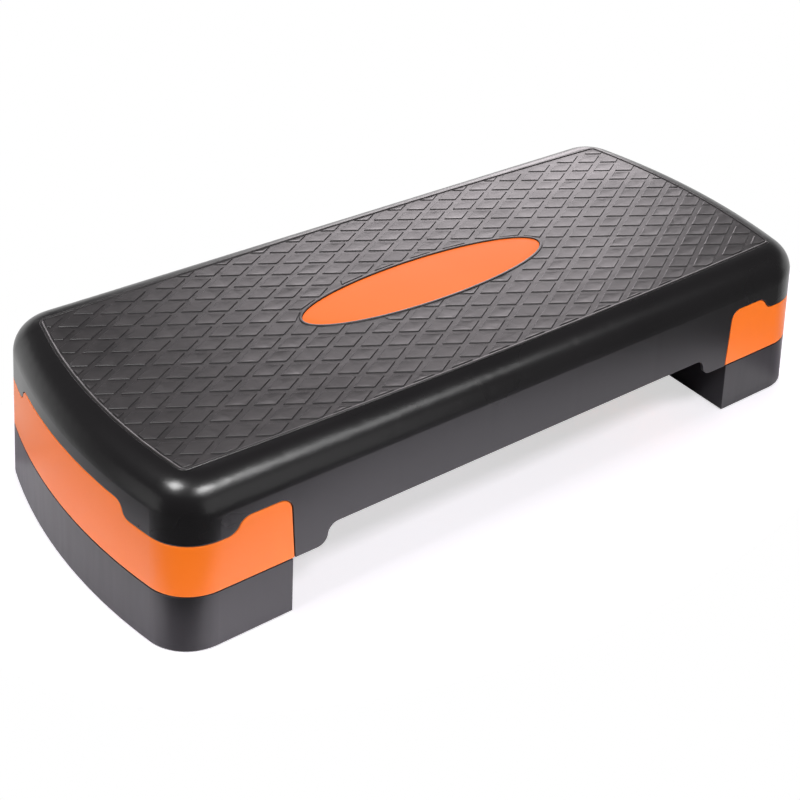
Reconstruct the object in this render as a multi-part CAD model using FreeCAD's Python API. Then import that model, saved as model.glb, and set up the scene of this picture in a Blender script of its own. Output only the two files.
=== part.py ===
import FreeCAD, Part
import math
import os

V = FreeCAD.Vector

# Overall size of the step as it stands on both risers, in millimetres
LENGTH = 680.0            # over the two end walls, at the floor
WIDTH = 293.0             # over the two long walls, at the floor
BASE_H = 48.5             # height that the black lower tier adds
DECK_H = 88.5             # legs of the deck to the tops of the tread pads
CORNER_R = 39.0           # plan radius of the four corners
END_ARC_R = 520.0         # plan radius of the bowed ends
END_DRAFT_DEG = 6.5       # lean of the end walls, wider at the floor
SIDE_DRAFT_DEG = 2.4      # lean of the long walls, wider at the floor

# Deck moulding
LAND_DROP = 0.4           # land around the tread lies this far under the pad tops
EDGE_R = 26.0             # large rounding between the top and the walls
DECK_WALL = 3.0
DECK_PLATE = 4.0          # plate under the tread
LEG_W = 19.5              # short leg of the skirt beside each notch
SKIRT_RISE = 16.5         # the skirt's middle is raised this much above its legs
SKIRT_STEP_RUN = 19.0
RIB_T = 2.6
RIB_DEPTH = 16.0
RIB_PITCH_X = 88.0
RIB_PITCH_Y = 56.0

# Wavy notch that the upper riser fills at each end of the deck
RISER_L = 117.5           # end wall to the straight inner edge of the notch
NOTCH_HIGH_DROP = 35.0    # upper level of the wave under the pad tops
NOTCH_LOW_DROP = 46.5     # lower level, around the corners
NOTCH_R = 9.0             # rounded inner corner of the notch
FRONT_CREST = 31.5        # length of the upper level on the long walls
FRONT_WAVE_RUN = 20.0
END_SHOULDER = 72.5       # long wall to the upper level across the end wall
END_WAVE_RUN = 16.0
WAVE_GAP = 1.0            # shadow gap along the wave

# Upper riser, the coloured tier
UPPER_WALL = 5.6
UPPER_LIP = 4.0           # locating lip behind the deck's wall, above the wave
LIP_CLEAR = 0.4
UPPER_WEB = 3.5
CROSS_WALL = 4.0          # cross wall that faces the other riser
CROSS_DROP = 40.0         # its top lies this far under the pad tops
NEST_DEPTH = 6.5          # recess under the web, which takes the lower riser
COLUMN_D = 26.0           # columns that carry the deck's ribs
COLUMN_WALL = 3.0
COLUMN_OFFSET = 27.5      # inner columns, from the notch's inner edge
COLUMN_PITCH = 50.0

# Base riser, the black lower tier
BASE_WALL = 4.0
CROSS_STEP = 1.0          # its cross wall stands back this far from the notch's edge
CROSS_LEAN = 3.0          # and leans outwards by this much down to the floor
NEST_CLEAR = 0.5
SEAM_H = 1.0              # shadow groove between the two tiers
SEAM_DEPTH = 1.2
RIM_LIFT = 1.0            # the rim of the wall stays this far off the floor
BASE_RIB_T = 2.6
BASE_RIB_DEPTH = 10.0
BASE_RIB_PITCH = 56.0

# Rubber feet, pressed into bosses under the base riser
FOOT_D = 24.0
FOOT_H = 5.0
FOOT_SEAT = 3.0           # depth of the foot's pocket
FOOT_EDGE_R = 1.0
FOOT_CLEAR = 0.2
BOSS_WALL = 2.5
INNER_FOOT_X = 23.5       # from the notch's inner edge
INNER_FOOT_Y = 28.5       # from the long wall
OUTER_FOOT_X = 43.0       # from the middle of the end wall
OUTER_FOOT_Y = 42.5       # from the long wall

# Tread mat and its lozenge pads
SIDE_LAND = 1.3           # flat land between the mat's corners and the long rounded edges
END_REACH = 1.3           # the mat runs this far into the rounding at the ends
MAT_BOW = 5.0             # its long sides bow outwards by this much in the middle
MAT_END_R = 540.0
MAT_CORNER_R = 6.0
MAT_T = 2.2
MAT_CLEAR = 0.2
PAD_RISE = 0.6
PAD_PITCH_X = 35.875
PAD_PITCH_Y = 21.42
PAD_SHARE = 0.77          # pad diagonal over pitch
FRAME_W = 3.2             # raised frame around the mat and raised lip around the badge
FRAME_GAP = 1.4           # channel between the frame and the pads

# Oval badge in the middle of the mat
BADGE_L = 240.0
BADGE_W = 62.0
BADGE_CLEAR = 0.3
BADGE_DROP = 0.4          # badge lies this far under the pad tops

# Places worked out from the sizes above
END_DRAFT = math.radians(END_DRAFT_DEG)
SIDE_DRAFT = math.radians(SIDE_DRAFT_DEG)
HEIGHT = BASE_H + DECK_H
DECK_TOP = HEIGHT - LAND_DROP
TREAD_FLOOR = HEIGHT - PAD_RISE - MAT_T
PLATE_UNDER = TREAD_FLOOR - DECK_PLATE
RIB_LOW = PLATE_UNDER - RIB_DEPTH
NOTCH_X = 0.5 * LENGTH - RISER_L
NOTCH_HIGH = HEIGHT - NOTCH_HIGH_DROP
NOTCH_LOW = HEIGHT - NOTCH_LOW_DROP
CROSS_TOP = HEIGHT - CROSS_DROP
FRONT_WAVE_X = NOTCH_X + FRONT_CREST
END_WAVE_Y = 0.5 * WIDTH - END_SHOULDER
LEG_X = NOTCH_X - LEG_W
SKIRT_STEP_X = LEG_X - SKIRT_STEP_RUN
SKIRT_LOW = BASE_H + SKIRT_RISE
WEB_LOW = BASE_H + NEST_DEPTH
WEB_TOP = WEB_LOW + UPPER_WEB
NEST_TOP = WEB_LOW - NEST_CLEAR
COLUMN_X = (NOTCH_X + COLUMN_OFFSET, NOTCH_X + COLUMN_OFFSET + COLUMN_PITCH)
COLUMN_Y = 1.5 * RIB_PITCH_Y
FAR = LENGTH              # past every wall, for cutting tools
BELOW = -HEIGHT           # below the floor, for cutting tools


def flat_half(half, draft):
    """Half size of the flat top inside the large rounding."""
    return half - DECK_TOP * math.tan(draft) - EDGE_R * math.tan(0.25 * math.pi - 0.5 * draft)


MAT_HALF_L = flat_half(0.5 * LENGTH, END_DRAFT) + END_REACH
MAT_HALF_W = flat_half(0.5 * WIDTH, SIDE_DRAFT) - SIDE_LAND


def side_edge(a, b, bow):
    """Long side of an outline between two corners, bowed outwards in the middle."""
    if bow == 0.0:
        return line(a, b)
    return Part.Arc(a, V(0.0, a.y + math.copysign(bow, a.y), a.z), b).toShape()


def plan(half_length, half_width, end_r, corner_r, bow, z):
    """Closed outline: bowed ends, rounded corners, and long sides that bow by bow."""
    end_x = half_length - end_r
    corner_y = half_width - corner_r
    corner_x = end_x + math.sqrt((end_r - corner_r) ** 2 - corner_y ** 2)
    turn = math.atan2(corner_y, corner_x - end_x)
    meet = V(end_x + end_r * math.cos(turn), end_r * math.sin(turn), z)
    side = V(corner_x, half_width, z)
    half_turn = 0.5 * (turn + 0.5 * math.pi)
    middle = V(corner_x + corner_r * math.cos(half_turn), corner_y + corner_r * math.sin(half_turn), z)
    tip = V(half_length, 0.0, z)

    def flip(point, sx, sy):
        return V(sx * point.x, sy * point.y, point.z)

    edges = []
    for sx in (1, -1):
        end = Part.Arc(flip(meet, sx, sx), flip(tip, sx, sx), flip(meet, sx, -sx))
        first = Part.Arc(flip(side, sx, sx), flip(middle, sx, sx), flip(meet, sx, sx))
        last = Part.Arc(flip(meet, sx, -sx), flip(middle, sx, -sx), flip(side, sx, -sx))
        edges += [first.toShape(), end.toShape(), last.toShape()]
        edges.append(side_edge(flip(side, sx, -sx), flip(side, -sx, -sx), bow))
    return Part.Wire(edges)


def outline(z, inset):
    """Outline of the leaning walls at one level, moved inwards by inset."""
    half_length = 0.5 * LENGTH - z * math.tan(END_DRAFT) - inset
    half_width = 0.5 * WIDTH - z * math.tan(SIDE_DRAFT) - inset
    return plan(half_length, half_width, END_ARC_R - inset, CORNER_R - inset, 0.0, z)


def body(inset, z_top):
    """Solid inside the leaning walls, from below the floor to z_top."""
    return Part.makeLoft([outline(-BASE_H, inset), outline(z_top, inset)], True, True)


def crowned(inset, z_top, edge_r):
    """The same solid with its upper edge rounded."""
    solid = body(inset, z_top)
    rim = [e for e in solid.Edges if e.BoundBox.ZMin > z_top - 0.01]
    return solid.makeFillet(edge_r, rim)


def box(x0, x1, y0, y1, z0, z1):
    return Part.makeBox(x1 - x0, y1 - y0, z1 - z0, V(x0, y0, z0))


def slab(z0, z1):
    """Everything between two levels."""
    return box(-FAR, FAR, -FAR, FAR, z0, z1)


def mirrored(shape):
    """The same piece at the other end."""
    return shape.mirror(V(0, 0, 0), V(1, 0, 0))


def line(a, b):
    return Part.LineSegment(a, b).toShape()


def s_step(place, u_high, high, u_low, low, grow):
    """Two tangent arcs from a high level down to a low one, moved outwards by grow."""
    run = u_low - u_high
    drop = high - low
    r = (run ** 2 + drop ** 2) / (4.0 * drop)
    lean = math.atan2(low + r - (high - r), run)
    top_mid = 0.5 * (lean + 0.5 * math.pi)
    low_mid = top_mid + math.pi

    def upper(angle):
        return place(u_high + (r + grow) * math.cos(angle), high - r + (r + grow) * math.sin(angle))

    def lower(angle):
        return place(u_low + (r - grow) * math.cos(angle), low + r + (r - grow) * math.sin(angle))

    first = Part.Arc(upper(0.5 * math.pi), upper(top_mid), upper(lean)).toShape()
    second = Part.Arc(lower(lean + math.pi), lower(low_mid), lower(1.5 * math.pi)).toShape()
    return [first, second]


def on_front(u, w):
    """Point of a profile drawn on the long side."""
    return V(u, -FAR, w)


def on_end(u, w):
    """Point of a profile drawn across the end."""
    return V(FRONT_WAVE_X + FRONT_WAVE_RUN, u, w)


def notch_edges(grow):
    """Inner edge, rounded corner and wave of the notch, seen on the long side."""
    x0 = NOTCH_X - grow
    high = NOTCH_HIGH + grow
    r = NOTCH_R + grow
    half = math.sqrt(0.5)
    bend = on_front(x0 + r - r * half, high - r + r * half)
    edges = [line(on_front(x0, BASE_H), on_front(x0, high - r))]
    edges.append(Part.Arc(on_front(x0, high - r), bend, on_front(x0 + r, high)).toShape())
    edges.append(line(on_front(x0 + r, high), on_front(FRONT_WAVE_X, high)))
    low_x = FRONT_WAVE_X + FRONT_WAVE_RUN
    edges += s_step(on_front, FRONT_WAVE_X, NOTCH_HIGH, low_x, NOTCH_LOW, grow)
    edges.append(line(on_front(low_x, NOTCH_LOW + grow), on_front(FAR, NOTCH_LOW + grow)))
    return edges


def extruded(edges, way):
    return Part.Face(Part.Wire(Part.__sortEdges__(edges))).extrude(way)


def front_notch(grow, z_low):
    """What lies under the wave of the long sides, at the right end."""
    edges = notch_edges(grow)
    edges.append(line(on_front(FAR, NOTCH_LOW + grow), on_front(FAR, BASE_H)))
    edges.append(line(on_front(FAR, BASE_H), on_front(NOTCH_X - grow, BASE_H)))
    prism = extruded(edges, V(0, 2 * FAR, 0))
    return prism.common(slab(z_low, HEIGHT))


def end_notch(grow, z_low):
    """What lies under the wave of the end wall, at the right end."""
    low_y = END_WAVE_Y + END_WAVE_RUN
    low = NOTCH_LOW + grow
    high = NOTCH_HIGH + grow
    edges = s_step(on_end, END_WAVE_Y, NOTCH_HIGH, low_y, NOTCH_LOW, grow)
    edges.append(line(on_end(low_y, low), on_end(FAR, low)))
    edges.append(line(on_end(FAR, low), on_end(FAR, z_low)))
    edges.append(line(on_end(FAR, z_low), on_end(0, z_low)))
    edges.append(line(on_end(0, z_low), on_end(0, high)))
    edges.append(line(on_end(0, high), on_end(END_WAVE_Y, high)))
    half = extruded(edges, V(FAR, 0, 0))
    return half.fuse(half.mirror(V(0, 0, 0), V(0, 1, 0)))


def notch(grow, z_low):
    """The whole space under the wave at the right end."""
    return front_notch(grow, z_low).fuse(end_notch(grow, z_low))


def under_skirt():
    """What is cut away under the long skirt, right half: a raised middle and a leg beside the notch."""
    edges = [line(on_front(0, SKIRT_LOW), on_front(SKIRT_STEP_X, SKIRT_LOW))]
    edges += s_step(on_front, SKIRT_STEP_X, SKIRT_LOW, LEG_X, BASE_H, 0.0)
    edges.append(line(on_front(LEG_X, BASE_H), on_front(FAR, BASE_H)))
    edges.append(line(on_front(FAR, BASE_H), on_front(FAR, BELOW)))
    edges.append(line(on_front(FAR, BELOW), on_front(0, BELOW)))
    edges.append(line(on_front(0, BELOW), on_front(0, SKIRT_LOW)))
    return extruded(edges, V(0, 2 * FAR, 0))


def mat_prism(grow, z0, z1):
    """Block of the mat's outline, grown or shrunk."""
    half_length = MAT_HALF_L + grow
    half_width = MAT_HALF_W + grow
    wire = plan(half_length, half_width, MAT_END_R + grow, MAT_CORNER_R + grow, MAT_BOW, z0)
    return Part.Face(wire).extrude(V(0, 0, z1 - z0))


def oval_prism(grow, z0, z1):
    """Block of the badge's outline, grown or shrunk."""
    oval = Part.Ellipse(V(0, 0, z0), 0.5 * BADGE_L + grow, 0.5 * BADGE_W + grow)
    return Part.Face(Part.Wire(oval.toShape())).extrude(V(0, 0, z1 - z0))


def deck_ribs():
    """Grid of ribs under the plate, trimmed to the inside of the deck."""
    span_x = 0.5 * LENGTH
    span_y = 0.5 * WIDTH
    ribs = []
    columns = int(span_x / RIB_PITCH_X + 0.5)
    for i in range(-columns, columns):
        x = (i + 0.5) * RIB_PITCH_X
        ribs.append(box(x - 0.5 * RIB_T, x + 0.5 * RIB_T, -span_y, span_y, RIB_LOW, TREAD_FLOOR))
    rows = int(span_y / RIB_PITCH_Y + 0.5)
    for j in range(-rows, rows):
        y = (j + 0.5) * RIB_PITCH_Y
        ribs.append(box(-span_x, span_x, y - 0.5 * RIB_T, y + 0.5 * RIB_T, RIB_LOW, TREAD_FLOOR))
    grid = ribs[0].multiFuse(ribs[1:])
    inset = 0.5 * DECK_WALL
    return grid.common(crowned(inset, DECK_TOP - inset, EDGE_R - inset))


def deck_shell():
    """Top moulding: crowned tray with ribs, wavy ends, raised skirt and a recess for the mat."""
    outer = crowned(0.0, DECK_TOP, EDGE_R)
    hollow = crowned(DECK_WALL, PLATE_UNDER, EDGE_R - DECK_WALL)
    shell = outer.cut(hollow).fuse(deck_ribs())
    shell = shell.cut(mat_prism(MAT_CLEAR, TREAD_FLOOR, HEIGHT))
    skirt = under_skirt()
    space = notch(WAVE_GAP, BELOW)
    for tool in (skirt, mirrored(skirt), space, mirrored(space)):
        shell = shell.cut(tool)
    return shell.removeSplitter()


def tread_pads():
    """Lozenge pads on two interleaved grids, cut off at the frame and around the badge."""
    z0 = HEIGHT - PAD_RISE - 0.5 * MAT_T
    reach_x = int(MAT_HALF_L / PAD_PITCH_X) + 1
    widest = MAT_HALF_W + MAT_BOW
    reach_y = int(widest / PAD_PITCH_Y) + 1
    dx = 0.5 * PAD_SHARE * PAD_PITCH_X
    dy = 0.5 * PAD_SHARE * PAD_PITCH_Y
    pads = []
    for i in range(-2 * reach_x, 2 * reach_x + 1):
        for j in range(-2 * reach_y, 2 * reach_y + 1):
            if (i + j) % 2:
                continue
            x = 0.5 * i * PAD_PITCH_X
            y = 0.5 * j * PAD_PITCH_Y
            if abs(x) > MAT_HALF_L or abs(y) > widest:
                continue
            corners = [V(x + dx, y, z0), V(x, y + dy, z0), V(x - dx, y, z0), V(x, y - dy, z0)]
            lozenge = Part.makePolygon(corners + corners[:1])
            pads.append(Part.Face(lozenge).extrude(V(0, 0, HEIGHT - z0)))
    inside = mat_prism(-FRAME_W - FRAME_GAP, z0, HEIGHT)
    inside = inside.cut(oval_prism(FRAME_W + FRAME_GAP, z0, HEIGHT))
    return Part.makeCompound(pads).common(inside).Solids


def tread_mat():
    """Soft mat: a sheet with a raised frame, a raised lip around the badge and the pads."""
    sheet_top = HEIGHT - PAD_RISE
    frame = mat_prism(0.0, TREAD_FLOOR, HEIGHT).cut(mat_prism(-FRAME_W, sheet_top, HEIGHT))
    lip = oval_prism(FRAME_W, sheet_top - 0.5 * MAT_T, HEIGHT)
    mat = frame.multiFuse([lip] + tread_pads())
    return mat.cut(oval_prism(BADGE_CLEAR, TREAD_FLOOR, HEIGHT))


def oval_badge():
    """Plain oval plate, seated on the deck inside the mat."""
    return oval_prism(0.0, TREAD_FLOOR, HEIGHT - BADGE_DROP)


def seam_groove():
    """Thin ring cut into the outside where the two tiers meet."""
    ring = body(-SEAM_DEPTH, DECK_TOP).cut(body(SEAM_DEPTH, DECK_TOP))
    return ring.common(slab(BASE_H - 0.5 * SEAM_H, BASE_H + 0.5 * SEAM_H))


def upper_riser():
    """Coloured tier at the right end: wall under the wave, lip behind the deck, web and columns."""
    lip_inset = DECK_WALL + LIP_CLEAR
    wall = body(0.0, DECK_TOP).common(notch(0.0, BASE_H))
    lip = body(lip_inset, DECK_TOP).common(notch(UPPER_LIP, WEB_LOW))
    tier = wall.fuse(lip)
    inside = body(UPPER_WALL, DECK_TOP)
    cross_x = NOTCH_X + CROSS_WALL
    tier = tier.cut(inside)
    web = inside.common(box(NOTCH_X, FAR, -FAR, FAR, WEB_LOW, WEB_TOP))
    cross = inside.common(box(NOTCH_X, cross_x, -FAR, FAR, BASE_H, CROSS_TOP))
    parts = [web, cross]
    for x in COLUMN_X:
        for y in (-COLUMN_Y, COLUMN_Y):
            parts.append(Part.makeCylinder(0.5 * COLUMN_D, RIB_LOW - WEB_LOW, V(x, y, WEB_LOW)))
    tier = tier.multiFuse(parts)
    for x in COLUMN_X:
        for y in (-COLUMN_Y, COLUMN_Y):
            bore = Part.makeCylinder(0.5 * COLUMN_D - COLUMN_WALL, RIB_LOW - WEB_TOP, V(x, y, WEB_TOP))
            tier = tier.cut(bore)
    return tier.cut(seam_groove()).removeSplitter()


def base_wedge(inset):
    """Space outside the leaning cross wall, moved in by inset."""
    top_x = NOTCH_X + CROSS_STEP + inset
    corners = [on_front(top_x + 2 * CROSS_LEAN, -BASE_H), on_front(top_x - CROSS_LEAN, 2 * BASE_H)]
    corners += [on_front(FAR, 2 * BASE_H), on_front(FAR, -BASE_H)]
    return Part.Face(Part.makePolygon(corners + corners[:1])).extrude(V(0, 2 * FAR, 0))


def base_core(inset, z_low):
    """Solid of the lower tier with its raised nesting top, moved in by inset."""
    nest_inset = UPPER_WALL + NEST_CLEAR + inset
    nest_x = NOTCH_X + CROSS_WALL + NEST_CLEAR + inset
    lower = body(inset, DECK_TOP).common(base_wedge(inset)).common(slab(z_low, BASE_H - inset))
    nest_low = BASE_H - BASE_WALL - inset
    nest = body(nest_inset, DECK_TOP).common(box(nest_x, FAR, -FAR, FAR, nest_low, NEST_TOP - inset))
    return lower.fuse(nest)


def foot_places():
    """Centres of the four feet of the right riser, by name."""
    places = {}
    for side, sy in (("front", -1), ("back", 1)):
        places[side + "_inner"] = (NOTCH_X + INNER_FOOT_X, sy * (0.5 * WIDTH - INNER_FOOT_Y))
        places[side + "_outer"] = (0.5 * LENGTH - OUTER_FOOT_X, sy * (0.5 * WIDTH - OUTER_FOOT_Y))
    return places


def base_riser():
    """Black lower tier at the right end: open below, with a raised top that nests in the upper tier."""
    tier = base_core(0.0, RIM_LIFT).cut(base_core(BASE_WALL, BELOW))
    rib_low = BASE_H - BASE_WALL - BASE_RIB_DEPTH
    boss_r = 0.5 * FOOT_D + FOOT_CLEAR + BOSS_WALL
    boss_low = FOOT_H - FOOT_SEAT
    parts = []
    for y in (-BASE_RIB_PITCH, 0.0, BASE_RIB_PITCH):
        parts.append(box(0, FAR, y - 0.5 * BASE_RIB_T, y + 0.5 * BASE_RIB_T, rib_low, HEIGHT))
    for x, y in foot_places().values():
        parts.append(Part.makeCylinder(boss_r, BASE_H, V(x, y, boss_low)))
    trim = base_core(0.5 * BASE_WALL, BELOW)
    tier = tier.multiFuse([part.common(trim) for part in parts])
    for x, y in foot_places().values():
        tier = tier.cut(Part.makeCylinder(0.5 * FOOT_D + FOOT_CLEAR, FOOT_SEAT, V(x, y, boss_low)))
    return tier.cut(seam_groove()).removeSplitter()


def rubber_foot(x, y):
    """Round rubber foot with a softened lower edge, seated in its pocket."""
    disc = Part.makeCylinder(0.5 * FOOT_D, FOOT_H, V(x, y, 0.0))
    rim = [e for e in disc.Edges if e.BoundBox.ZMax < 0.01 and len(e.Vertexes) == 1]
    return disc.makeFillet(FOOT_EDGE_R, rim)


def all_nodes():
    """Every piece of the step, by the name of its node."""
    nodes = {"deck_shell": deck_shell(), "tread_mat": tread_mat(), "oval_badge": oval_badge()}
    upper = upper_riser()
    base = base_riser()
    nodes["right_upper_riser"] = upper
    nodes["left_upper_riser"] = mirrored(upper)
    nodes["right_base_riser"] = base
    nodes["left_base_riser"] = mirrored(base)
    for place, (x, y) in foot_places().items():
        nodes["right_foot_" + place] = rubber_foot(x, y)
        nodes["left_foot_" + place] = rubber_foot(-x, y)
    return nodes


os.makedirs("parts", exist_ok=True)
for name, shape in all_nodes().items():
    shape.exportStep("parts/" + name + ".step")
    print(name, "solids", len(shape.Solids), "valid", shape.isValid(), "volume mm3", round(shape.Volume, 1))
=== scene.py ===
"""Look of an aerobic step: a moulded deck with a lozenge tread, on two tiers of risers at each end."""
import logging
import math
from dataclasses import dataclass
from enum import Enum

import bpy
import numpy as np
from mathutils import Matrix, Vector


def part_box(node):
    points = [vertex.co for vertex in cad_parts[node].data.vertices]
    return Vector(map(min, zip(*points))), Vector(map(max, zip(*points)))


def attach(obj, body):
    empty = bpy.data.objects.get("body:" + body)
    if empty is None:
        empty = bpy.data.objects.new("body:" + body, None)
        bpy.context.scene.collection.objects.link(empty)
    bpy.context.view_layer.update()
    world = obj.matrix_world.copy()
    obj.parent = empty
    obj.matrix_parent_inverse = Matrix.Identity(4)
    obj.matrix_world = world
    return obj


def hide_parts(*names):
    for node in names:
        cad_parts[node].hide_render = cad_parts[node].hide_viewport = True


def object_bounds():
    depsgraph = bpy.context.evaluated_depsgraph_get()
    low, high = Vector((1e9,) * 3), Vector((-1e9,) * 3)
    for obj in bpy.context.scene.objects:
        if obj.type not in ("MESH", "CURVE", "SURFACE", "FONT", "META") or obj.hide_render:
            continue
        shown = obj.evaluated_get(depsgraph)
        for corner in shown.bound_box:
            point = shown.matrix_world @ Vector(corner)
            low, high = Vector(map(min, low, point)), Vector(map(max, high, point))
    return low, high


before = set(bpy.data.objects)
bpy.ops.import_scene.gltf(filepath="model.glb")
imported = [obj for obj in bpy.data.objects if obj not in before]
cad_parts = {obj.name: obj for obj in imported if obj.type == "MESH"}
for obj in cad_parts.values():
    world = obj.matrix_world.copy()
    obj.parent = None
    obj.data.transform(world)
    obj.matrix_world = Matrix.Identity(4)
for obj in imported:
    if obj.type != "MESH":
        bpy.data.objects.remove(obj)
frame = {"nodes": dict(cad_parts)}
CAD_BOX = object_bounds()

MM = 0.001
TINY = 1e-6  # lengths and slopes under this count as nothing
WHITE = (1.0, 1.0, 1.0, 1.0)
COLOUR_A = 6  # a Mix node's two colours and its mixed colour go by number, as their names are shared
COLOUR_B = 7
MIXED_COLOUR = 2
LOG = logging.getLogger("step")


class Slot(Enum):
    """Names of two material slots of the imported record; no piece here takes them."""

    TREAD = "tread_grey"
    ACCENT = "accent_orange"


class End(Enum):
    """The two ends of the step."""

    LEFT = "left"
    RIGHT = "right"


def hex_linear(code: str) -> tuple[float, float, float, float]:
    """Turns an sRGB hex colour into linear light, by sRGB's own curve.

    Args:
        code: six hex digits, with or without a leading hash.

    Returns:
        Linear red, green and blue, and an alpha of one.
    """
    digits = code.lstrip("#")
    srgb = np.array([int(digits[i:i + 2], 16) for i in (0, 2, 4)]) / 255.0
    linear = np.where(srgb <= 0.04045, srgb / 12.92, ((srgb + 0.055) / 1.055) ** 2.4)
    return (float(linear[0]), float(linear[1]), float(linear[2]), 1.0)


def per_mm(size: float) -> float:
    """Scale of a pattern that repeats about once in so many millimetres."""
    return 1.0 / (size * MM)


def add_node(tree: bpy.types.NodeTree, kind: str, inputs: dict | None = None,
             **settings: object) -> bpy.types.Node:
    """Adds one node with its settings and links.

    Args:
        tree: the node tree that gets it.
        kind: Blender's name for the node.
        inputs: by socket name or number, a plain value or the output that is linked in.
        settings: the node's own attributes.

    Returns:
        The new node.
    """
    node = tree.nodes.new(kind)
    for name, value in settings.items():
        setattr(node, name, value)
    for key, value in (inputs or {}).items():
        if isinstance(value, bpy.types.NodeSocket):
            tree.links.new(value, node.inputs[key])
        else:
            node.inputs[key].default_value = value
    return node


def empty_material(name: str) -> bpy.types.Material:
    """Makes a material whose tree holds nothing yet.

    Args:
        name: the finish's name.

    Returns:
        The material.
    """
    material = bpy.data.materials.new(name)
    material.use_nodes = True
    material.node_tree.nodes.clear()
    return material


def dress(piece: bpy.types.Object, material: bpy.types.Material) -> None:
    """Gives a piece one finish, in its material slots.

    Args:
        piece: the object.
        material: its finish.
    """
    if not piece.material_slots:
        piece.data.materials.append(material)
    for place in piece.material_slots:
        place.material = material


def grid_faces(rows: int, columns: int, close_rows: bool) -> np.ndarray:
    """Quads of a grid whose columns close into a ring.

    Args:
        rows: number of rings.
        columns: points in each ring.
        close_rows: whether the last ring joins the first.

    Returns:
        One row of four point numbers for each quad.
    """
    row = np.arange(rows if close_rows else rows - 1)[:, None]
    column = np.arange(columns)[None, :]
    below = row * columns
    above = ((row + 1) % rows) * columns
    right = (column + 1) % columns
    quads = np.stack([below + column, below + right, above + right, above + column], axis=-1)
    return quads.reshape(-1, 4)


def raise_rings(plan: np.ndarray, level: np.ndarray) -> np.ndarray:
    """Lifts each ring of plan places to its level.

    Args:
        plan: plan places: rings, points in a ring, two.
        level: one height for each ring.

    Returns:
        Places: rings, points in a ring, three.
    """
    height = np.broadcast_to(level[:, None, None], plan.shape[:2] + (1,))
    return np.concatenate([plan, height], axis=2)


def make_piece(name: str, points: np.ndarray, faces: list[list[int]],
               crease_deg: float) -> bpy.types.Object:
    """Puts points and faces into a new object at the origin.

    Args:
        name: the piece's name.
        points: places in metres, one row each.
        faces: point numbers of each face, seen anticlockwise from outside.
        crease_deg: edges that turn by more than this stay sharp.

    Returns:
        The object, linked into the scene.
    """
    mesh = bpy.data.meshes.new(name)
    mesh.from_pydata(points.tolist(), [], faces)
    mesh.update()
    mesh.shade_smooth()
    mesh.set_sharp_from_angle(angle=math.radians(crease_deg))
    piece = bpy.data.objects.new(name, mesh)
    bpy.context.scene.collection.objects.link(piece)
    return piece


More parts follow.
